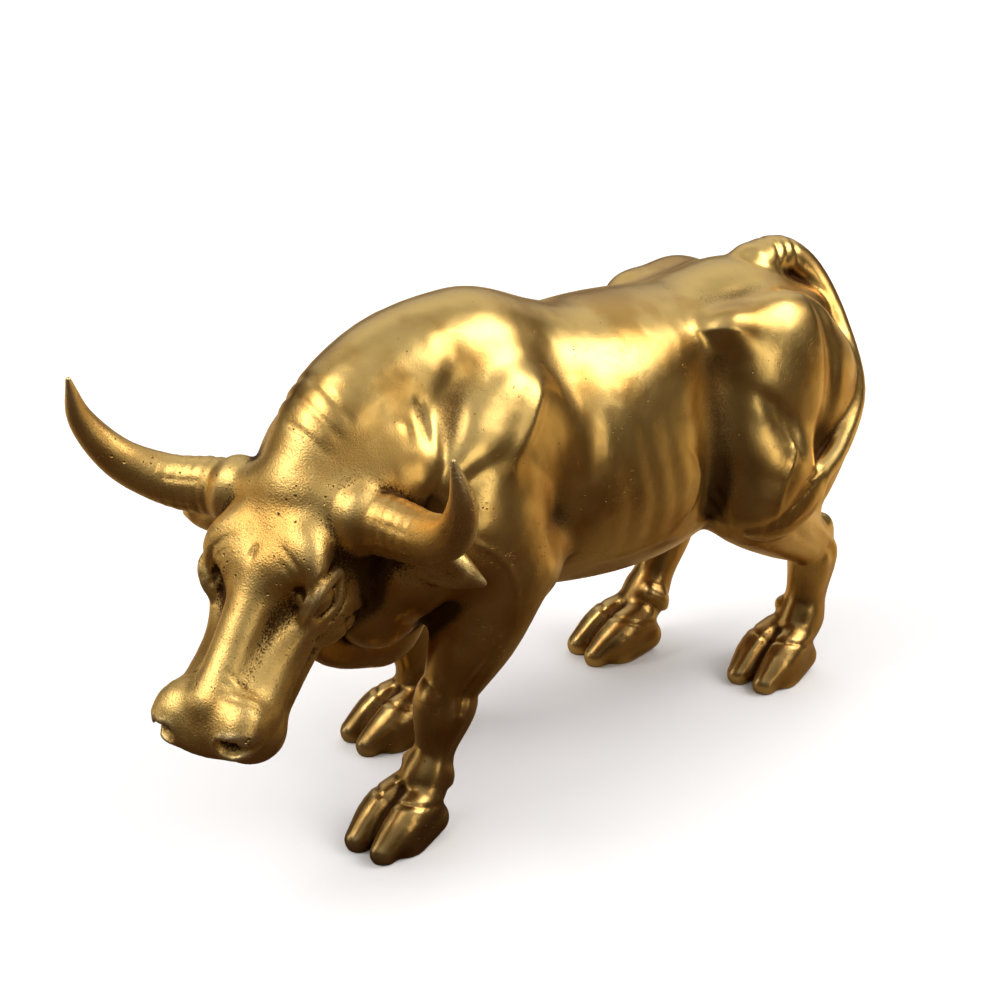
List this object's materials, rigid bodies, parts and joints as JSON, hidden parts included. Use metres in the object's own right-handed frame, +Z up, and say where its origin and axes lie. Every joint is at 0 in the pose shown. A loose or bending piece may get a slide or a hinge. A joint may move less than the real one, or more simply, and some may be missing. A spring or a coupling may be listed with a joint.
{
  "type": "bull figurine",
  "caption": "Cast metal desk figure of a walking bull with lowered head, wide curved horns, cloven hooves and a tail lying along the thigh.",
  "frame": {"origin": "on the standing surface, under the middle of the figure's outer box", "axes": "+Z up, the muzzle towards -Y and the tail towards +Y, the bull's own left at +X"},
  "size_m": [0.0684, 0.15, 0.0872],
  "materials": {
    "antique_gold": "satin antique gold over a cast skin, with dark brown patina left in the hollows and creases"
  },
  "bodies": {
    "root": {"bull": "antique_gold"}
  },
  "joints": []
}
